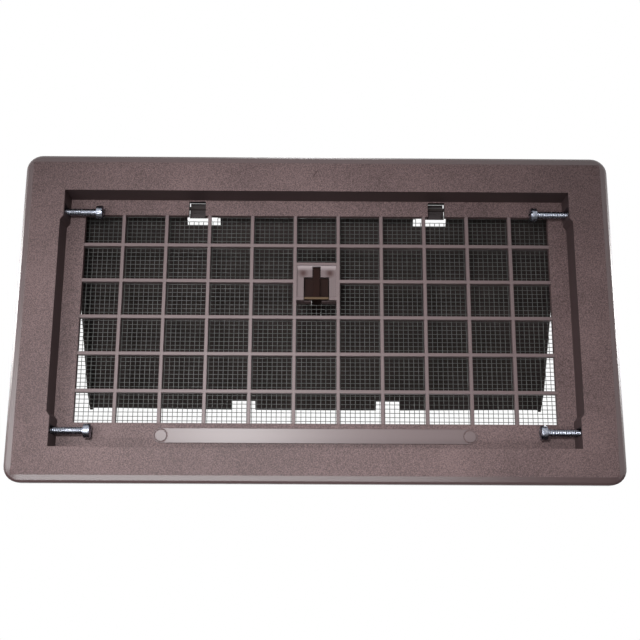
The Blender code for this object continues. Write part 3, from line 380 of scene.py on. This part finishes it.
# Painted shade: two dark spots beside the slot, for the sink marks.
plate_tone = laid_over(tree, around.outputs["Result"], linear("#452F2E"), linear("#6D6061"))
sheen = add_node(tree, "MapRange", {
    "Value": axis.outputs["Z"], "From Min": PLATE_Z + SHEEN_START, "From Max": PLATE_Z + SHEEN_END,
})
# Painted reflection: the upper end of the plate is paler.
plate_tone = laid_over(tree, sheen.outputs["Result"], plate_tone, linear("#938789"))
brown_tone = laid_over(tree, plate, brown_tone, plate_tone)
print("sink marks", SINK_SHADE_X / MM, "mm beside the middle")

# %% Roughness and bump of the moulding
gloss = add_node(tree, "MapRange", {"Value": rim, "To Min": 0.3, "To Max": 0.9})
matte = add_node(tree, "MapRange", {"Value": grain.outputs["Fac"], "To Min": 0.46, "To Max": 0.6})
roughness = set_over(tree, bars, matte.outputs["Result"], 0.42)
roughness = set_over(tree, rim, roughness, 0.26)
roughness = set_over(tree, strip, roughness, 0.34)
roughness = set_over(tree, plate, roughness, 0.22)
grain_height = set_over(tree, smooth_parts, grain.outputs["Fac"], 0.5)
round_edge = add_node(tree, "Bevel", {"Radius": EDGE_RADIUS}, samples=4)
relief = add_node(tree, "Bump", {
    "Strength": 0.8, "Distance": 0.2 * MM, "Height": grain_height, "Normal": round_edge.outputs["Normal"],
})
tree.links.new(brown_tone, shader.inputs["Base Color"])
tree.links.new(roughness, shader.inputs["Roughness"])
tree.links.new(relief.outputs["Normal"], shader.inputs["Normal"])
tree.links.new(gloss.outputs["Result"], shader.inputs["Specular IOR Level"])
shader.inputs["IOR"].default_value = 1.49
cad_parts["vent_body"].data.materials[0] = brown
print("vent_body wears", brown.name)

# %% [markdown]
# ## The damper
# The damper is a second moulding, almost black brown, and matte like the frame. It is seen only through the
# bars and the screen, where its flat colour matters most, but from behind it fills the view. It gets the
# same kind of grain and a softer cloud, with its own colour.

# %% Dark polypropylene for the damper
dark, tree, shader, place = new_finish("dark_polypropylene")
clouds = add_node(tree, "TexNoise", {"Vector": place, "Scale": 1.0 / FLOW_CLOUDS, "Detail": 3.0})
grain = add_node(tree, "TexNoise", {"Vector": place, "Scale": 1.0 / MOULD_GRAIN, "Detail": 2.0})
tint = add_node(tree, "ValToRGB", {"Fac": clouds.outputs["Fac"]})
tint.color_ramp.elements[0].position = 0.3
tint.color_ramp.elements[0].color = linear("#292322")
tint.color_ramp.elements[1].position = 0.7
tint.color_ramp.elements[1].color = linear("#352E2D")
matte = add_node(tree, "MapRange", {"Value": grain.outputs["Fac"], "To Min": 0.5, "To Max": 0.65})
round_edge = add_node(tree, "Bevel", {"Radius": EDGE_RADIUS}, samples=4)
relief = add_node(tree, "Bump", {
    "Strength": 0.6, "Distance": 0.15 * MM,
    "Height": grain.outputs["Fac"], "Normal": round_edge.outputs["Normal"],
})
tree.links.new(tint.outputs["Color"], shader.inputs["Base Color"])
tree.links.new(matte.outputs["Result"], shader.inputs["Roughness"])
tree.links.new(relief.outputs["Normal"], shader.inputs["Normal"])
shader.inputs["IOR"].default_value = 1.49
shader.inputs["Specular IOR Level"].default_value = 0.15
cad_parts["damper"].data.materials[0] = dark
print("damper wears", dark.name)

# %% [markdown]
# ## The control arm
# The arm slides in the keyhole and rubs on it, so it is made of nylon: a dark reddish brown, with the silky
# gloss of a polished mould. A finer, weaker bump than on the frame leaves the gloss and breaks it up a
# little, as flow lines do on a small moulding. The front edge of the tab's thin lip looks tan, because light
# comes through it. Real transmission would show that too, but a tone on that edge is enough and brings no
# noise.

# %% Dark nylon for the arm
FLOW_LINES = 2.5 * MM
ARM_EDGE_RADIUS = 0.4 * MM
LIP_DEPTH = 0.25 * MM

nylon, tree, shader, place = new_finish("dark_nylon")
stretched = add_node(tree, "Mapping", {"Vector": place, "Scale": (1.0, 0.15, 1.0)})
flow = add_node(tree, "TexNoise", {
    "Vector": stretched.outputs["Vector"], "Scale": 1.0 / FLOW_LINES, "Detail": 3.0,
})
tint = add_node(tree, "ValToRGB", {"Fac": flow.outputs["Fac"]})
tint.color_ramp.elements[0].color = linear("#190D0B")
tint.color_ramp.elements[1].color = linear("#241410")
silky = add_node(tree, "MapRange", {"Value": flow.outputs["Fac"], "To Min": 0.52, "To Max": 0.66})
round_edge = add_node(tree, "Bevel", {"Radius": ARM_EDGE_RADIUS}, samples=4)
relief = add_node(tree, "Bump", {
    "Strength": 0.25, "Distance": 0.03 * MM,
    "Height": flow.outputs["Fac"], "Normal": round_edge.outputs["Normal"],
})
arm_low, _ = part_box("control_arm")
axis = add_node(tree, "SeparateXYZ", {"Vector": place})
lip = add_node(tree, "Math", {0: axis.outputs["Y"], 1: arm_low.y, 2: LIP_DEPTH}, operation="COMPARE")
arm_tone = laid_over(tree, lip.outputs[0], tint.outputs["Color"], linear("#5A4A3A"))
tree.links.new(arm_tone, shader.inputs["Base Color"])
tree.links.new(silky.outputs["Result"], shader.inputs["Roughness"])
tree.links.new(relief.outputs["Normal"], shader.inputs["Normal"])
shader.inputs["IOR"].default_value = 1.53
shader.inputs["Specular IOR Level"].default_value = 0.06
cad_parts["control_arm"].data.materials[0] = nylon
print("control_arm wears", nylon.name)

# %% [markdown]
# ## The thermostat coil and its pin
# The coil is a strip of two rolled metals that curls as it warms. Rolling leaves fine lines along the
# strip and a warm grey, slightly brassy sheen. Stretching a noise along the strip gives the lines a
# direction. The pin is zinc plated like the screws and shares their finish below.

# %% Rolled bimetal for the coil
ROLLING_LINES = 0.5 * MM

bimetal, tree, shader, place = new_finish("rolled_bimetal")
stretched = add_node(tree, "Mapping", {"Vector": place, "Scale": (1.0, 0.06, 0.06)})
lines = add_node(tree, "TexNoise", {
    "Vector": stretched.outputs["Vector"], "Scale": 1.0 / ROLLING_LINES, "Detail": 2.0,
})
tint = add_node(tree, "ValToRGB", {"Fac": lines.outputs["Fac"]})
tint.color_ramp.elements[0].color = linear("#8F8169")
tint.color_ramp.elements[1].color = linear("#B0A288")
brushed = add_node(tree, "MapRange", {"Value": lines.outputs["Fac"], "To Min": 0.28, "To Max": 0.45})
relief = add_node(tree, "Bump", {"Strength": 0.3, "Distance": 0.02 * MM, "Height": lines.outputs["Fac"]})
tree.links.new(tint.outputs["Color"], shader.inputs["Base Color"])
tree.links.new(brushed.outputs["Result"], shader.inputs["Roughness"])
tree.links.new(relief.outputs["Normal"], shader.inputs["Normal"])
shader.inputs["Metallic"].default_value = 1.0
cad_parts["thermostat_coil"].data.materials[0] = bimetal
print("thermostat_coil wears", bimetal.name)

# %% [markdown]
# ## Zinc plated steel
# Bright zinc with a clear blue passivation looks cool and slightly cloudy. It is a metal, so its colour sits
# in the reflection, and small patches differ in roughness where the bath left the layer thinner.

# %% Bright zinc plate
ZINC_PATCHES = 1.8 * MM

zinc, tree, shader, place = new_finish("zinc_plate")
patches = add_node(tree, "TexNoise", {"Vector": place, "Scale": 1.0 / ZINC_PATCHES, "Detail": 2.0})
tint = add_node(tree, "ValToRGB", {"Fac": patches.outputs["Fac"]})
tint.color_ramp.elements[0].position = 0.3
tint.color_ramp.elements[0].color = linear("#7E8290")
tint.color_ramp.elements[1].position = 0.7
tint.color_ramp.elements[1].color = linear("#A6AAB4")
cloudy = add_node(tree, "MapRange", {"Value": patches.outputs["Fac"], "To Min": 0.2, "To Max": 0.32})
tree.links.new(tint.outputs["Color"], shader.inputs["Base Color"])
tree.links.new(cloudy.outputs["Result"], shader.inputs["Roughness"])
shader.inputs["Metallic"].default_value = 1.0
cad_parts["coil_pin"].data.materials[0] = zinc
print("coil_pin wears", zinc.name)

# %% [markdown]
# ## The screws
# Four machine screws hold the vent in its opening. Each has a tall round head with a slot and a rolled
# thread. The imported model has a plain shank, which is right for a collision shape, so each is replaced by
# a screw whose radius rises and falls along a helix. A spun profile with a Screw modifier would also make a
# thread, but a grid of points with a known radius gives a clean end under the head and at the tip.

# %% Sizes of the screw
SHANK_RADIUS = 2.75 * MM
SHANK_LENGTH = 31.75 * MM
THREAD_PITCH = 1.27 * MM
THREAD_DEPTH = 0.27 * MM
THREAD_TURNS = 24
HEAD_RADIUS = 5.1 * MM
HEAD_LENGTH = 5.2 * MM
HEAD_CROWN = 1.0 * MM
SLOT_WIDTH = 1.3 * MM
SLOT_DEPTH = 1.6 * MM
NECK_SHARE = 0.6                # of the thread's depth, taken off the plain neck under the head
HEAD_CHAMFER = 0.25 * MM
CROWN_FULLNESS = 0.55           # under 1 it makes the crown flatter than a dome
CROWN_STEPS = 9
AROUND = 32
PER_PITCH = 6
print("thread runs", round(THREAD_TURNS * THREAD_PITCH / MM, 2), "mm of", SHANK_LENGTH / MM, "mm")

# %% A closed body of rings
def ring_body(bm, rings):
    """Skin a list of rings of points and close both ends."""
    loops = [[bm.verts.new(point) for point in ring] for ring in rings]
    for first, second in zip(loops, loops[1:]):
        for i in range(len(first)):
            j = (i + 1) % len(first)
            bm.faces.new((first[i], first[j], second[j], second[i]))
    bm.faces.new(loops[0][::-1])
    bm.faces.new(loops[-1])


def thread_radius(turn, along):
    """Radius of the shank at a share of a turn and a distance from the head."""
    run = SHANK_LENGTH - THREAD_TURNS * THREAD_PITCH
    if along < run:
        return SHANK_RADIUS - THREAD_DEPTH * NECK_SHARE
    phase = ((along - run) / THREAD_PITCH - turn) % 1.0
    height = 0.5 - 0.5 * math.cos(2.0 * math.pi * phase)
    end = min((SHANK_LENGTH - along) / THREAD_PITCH, 1.0)
    return SHANK_RADIUS - THREAD_DEPTH * (1.0 - height * end) - 0.5 * THREAD_DEPTH * (1.0 - end)


print("radius at the crest", round(max(thread_radius(t / 12, 0.015) for t in range(12)) / MM, 3), "mm")

# %% Head and threaded shank
def head_profile():
    """Radius and height of each ring of the head, from its underside to its crown."""
    side = HEAD_LENGTH - HEAD_CROWN
    chamfered = (HEAD_RADIUS - HEAD_CHAMFER, 0.0)
    profile = [chamfered, (HEAD_RADIUS, HEAD_CHAMFER), (HEAD_RADIUS, side * 0.5), (HEAD_RADIUS, side)]
    for step in range(1, CROWN_STEPS):
        angle = math.pi / 2.0 * step / CROWN_STEPS
        radius = HEAD_RADIUS * math.cos(angle) ** CROWN_FULLNESS
        profile.append((radius, side + HEAD_CROWN * math.sin(angle)))
    return profile


def screw_rings():
    """Rings of one screw along Z, from the tip to the crown of the head."""
    turns = [i / AROUND for i in range(AROUND)]
    round_points = [(math.cos(2.0 * math.pi * turn), math.sin(2.0 * math.pi * turn)) for turn in turns]
    steps = round(SHANK_LENGTH / THREAD_PITCH * PER_PITCH)
    rings = []
    for step in range(steps, -1, -1):
        along = SHANK_LENGTH * step / steps
        radii = [thread_radius(turn, along) for turn in turns]
        rings.append([(radius * x, radius * y, -along) for radius, (x, y) in zip(radii, round_points)])
    for radius, height in head_profile():
        rings.append([(radius * x, radius * y, height) for x, y in round_points])
    return rings


def place_mesh(name, bm, smooth_angle=None):
    """Store a bmesh as an object of the scene."""
    mesh = bpy.data.meshes.new(name)
    bm.normal_update()
    bm.to_mesh(mesh)
    bm.free()
    if smooth_angle is not None:
        mesh.shade_smooth()
        mesh.set_sharp_from_angle(angle=math.radians(smooth_angle))
    item = bpy.data.objects.new(name, mesh)
    bpy.context.scene.collection.objects.link(item)
    return item


rings = screw_rings()
print("rings in one screw", len(rings))

# %% Cut the slot
def cut_slot(screw):
    """Cut the driver slot across the head."""
    bm = bmesh.new()
    size = Matrix.Diagonal((HEAD_RADIUS * 3.0, SLOT_WIDTH, SLOT_DEPTH * 2.0, 1.0))
    bmesh.ops.create_cube(bm, size=1.0, matrix=Matrix.Translation((0.0, 0.0, HEAD_LENGTH)) @ size)
    cutter = place_mesh("slot_cutter", bm)
    cut = screw.modifiers.new("slot", "BOOLEAN")
    cut.operation = "DIFFERENCE"
    cut.solver = "EXACT"
    cut.object = cutter
    bpy.context.view_layer.update()
    finished = bpy.data.meshes.new_from_object(screw.evaluated_get(bpy.context.evaluated_depsgraph_get()))
    screw.modifiers.clear()
    screw.data = finished
    bpy.data.objects.remove(cutter)


print("slot", SLOT_WIDTH / MM, "mm wide and", SLOT_DEPTH / MM, "mm deep")

# %% Set the four screws in their nodes' places
SMOOTH_ANGLE = 40.0
SPIN_START = 35.0
SPIN_GROWTH = 70.0              # turns the upper pair of screws further than the lower one

for name in ("screw_top_left", "screw_top_right", "screw_bottom_left", "screw_bottom_right"):
    low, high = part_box(name)
    side = -1.0 if low.x < 0.0 else 1.0
    under_head = (high.x - HEAD_LENGTH) if side < 0.0 else (low.x + HEAD_LENGTH)
    bm = bmesh.new()
    ring_body(bm, rings)
    bmesh.ops.recalc_face_normals(bm, faces=bm.faces)
    screw = place_mesh("threaded_" + name, bm, SMOOTH_ANGLE)
    cut_slot(screw)
    middle = (low + high) / 2.0
    spin = Matrix.Rotation(math.radians(SPIN_START + SPIN_GROWTH * middle.z / vent_high.z), 4, "Z")
    lay = Matrix.Rotation(-side * math.pi / 2.0, 4, "Y")
    screw.data.transform(Matrix.Translation((under_head, middle.y, middle.z)) @ lay @ spin)
    screw.data.materials.append(zinc)
    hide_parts(name)
    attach(screw, name)
    print(screw.name, len(screw.data.polygons), "faces")

# %% [markdown]
# ## The insect screen
# Behind the grille lies a square mesh woven from thin galvanised wire, cut out round the keyhole housing
# and the hooks of the damper. A texture with holes would look flat from the side and lose the weave, so
# each wire is drawn as a thin four sided bar that passes over one crossing wire and under the next.

# %% Galvanised wire
SPANGLE = 6.0 * MM

galvanised, tree, shader, place = new_finish("galvanised_wire")
spangle = add_node(tree, "TexNoise", {"Vector": place, "Scale": 1.0 / SPANGLE, "Detail": 2.0})
tint = add_node(tree, "ValToRGB", {"Fac": spangle.outputs["Fac"]})
tint.color_ramp.elements[0].position = 0.3
tint.color_ramp.elements[0].color = linear("#484948")
tint.color_ramp.elements[1].position = 0.7
tint.color_ramp.elements[1].color = linear("#585958")
dull = add_node(tree, "MapRange", {"Value": spangle.outputs["Fac"], "To Min": 0.35, "To Max": 0.5})
tree.links.new(tint.outputs["Color"], shader.inputs["Base Color"])
tree.links.new(dull.outputs["Result"], shader.inputs["Roughness"])
shader.inputs["Metallic"].default_value = 1.0
print("wire finish", galvanised.name)

# %% Where the wires cross and where the screen is cut out
WARP_PITCH = 3.59 * MM
WEFT_PITCH = 3.11 * MM
WARP_START = 0.0
WEFT_START = -0.9 * MM          # from the middle of the screen
WIRE_RADIUS = 0.23 * MM
WIRE_SMOOTH_ANGLE = 120.0       # the four sides of a wire are shaded as one round one
WEAVE = 0.18 * MM               # how far a wire goes in front of the middle, and behind it
HOUSING_HALF_WIDTH = 17.7 * MM
HOUSING_LOW_Z = CENTRE_Z + 14.4 * MM
HOUSING_HIGH_Z = CENTRE_Z + 46.4 * MM
HOOK_INNER_X = 78.8 * MM
HOOK_OUTER_X = 98.4 * MM
HOOK_LOW_Z = CENTRE_Z + 80.4 * MM

screen_low, screen_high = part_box("insect_screen")
screen_y = (screen_low.y + screen_high.y) / 2.0
middle_z = (screen_low.z + screen_high.z) / 2.0


def spaced(low, high, start, pitch):
    """Evenly spaced wires through a start that stay inside a span."""
    first = math.ceil((low + WIRE_RADIUS - start) / pitch)
    last = math.floor((high - WIRE_RADIUS - start) / pitch)
    return [start + pitch * i for i in range(first, last + 1)]


def is_cut(x, z):
    """Is this place in one of the cut outs?"""
    in_housing = abs(x) < HOUSING_HALF_WIDTH and HOUSING_LOW_Z < z < HOUSING_HIGH_Z
    in_hook = HOOK_INNER_X < abs(x) < HOOK_OUTER_X and z > HOOK_LOW_Z
    return in_housing or in_hook


warp_x = spaced(screen_low.x, screen_high.x, WARP_START, WARP_PITCH)
weft_z = spaced(screen_low.z, screen_high.z, middle_z + WEFT_START, WEFT_PITCH)
print("warps", len(warp_x), "wefts", len(weft_z))

# %% Weave the wires
def wire(bm, points, across):
    """One four sided wire along a path."""
    out = Vector((0.0, WIRE_RADIUS, 0.0))
    corners = (across * WIRE_RADIUS, out, -across * WIRE_RADIUS, -out)
    loops = [[bm.verts.new(point + corner) for corner in corners] for point in points]
    for first, second in zip(loops, loops[1:]):
        for i in range(4):
            j = (i + 1) % 4
            bm.faces.new((first[i], first[j], second[j], second[i]))
    bm.faces.new(loops[0][::-1])
    bm.faces.new(loops[-1])


def runs(points):
    """Split a row of crossings at the cut outs."""
    run = []
    for point in [*points, None]:
        if point is None or is_cut(point.x, point.z):
            if len(run) > 1:
                yield run
            run = []
        else:
            run.append(point)


def weave(name, lines, across):
    """All the wires of one direction as one piece."""
    bm = bmesh.new()
    for line in lines:
        for run in runs(line):
            wire(bm, run, across)
    bmesh.ops.recalc_face_normals(bm, faces=bm.faces)
    piece = place_mesh(name, bm, WIRE_SMOOTH_ANGLE)
    piece.data.materials.append(galvanised)
    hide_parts("insect_screen")
    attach(piece, "frame")
    return piece


def crossing(i, j, sign):
    """A crossing of warp i and weft j, with the wire in front or behind."""
    return Vector((warp_x[i], screen_y + sign * WEAVE * (-1.0) ** (i + j), weft_z[j]))


up_lines = [[crossing(i, j, 1.0) for j in range(len(weft_z))] for i in range(len(warp_x))]
side_lines = [[crossing(i, j, -1.0) for i in range(len(warp_x))] for j in range(len(weft_z))]
warp_wires = weave("screen_warp", up_lines, Vector((1.0, 0.0, 0.0)))
weft_wires = weave("screen_weft", side_lines, Vector((0.0, 0.0, 1.0)))
print("warp faces", len(warp_wires.data.polygons), "weft faces", len(weft_wires.data.polygons))

# %% [markdown]
# ## Sizes
# The box of the dressed vent is printed in millimetres. The dressed vent has to stay as large as the
# imported model.

# %% Print the dressed vent's box and finish
visual_box = [list(corner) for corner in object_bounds()]
print("visual box", [[round(value / MM, 1) for value in corner] for corner in visual_box])
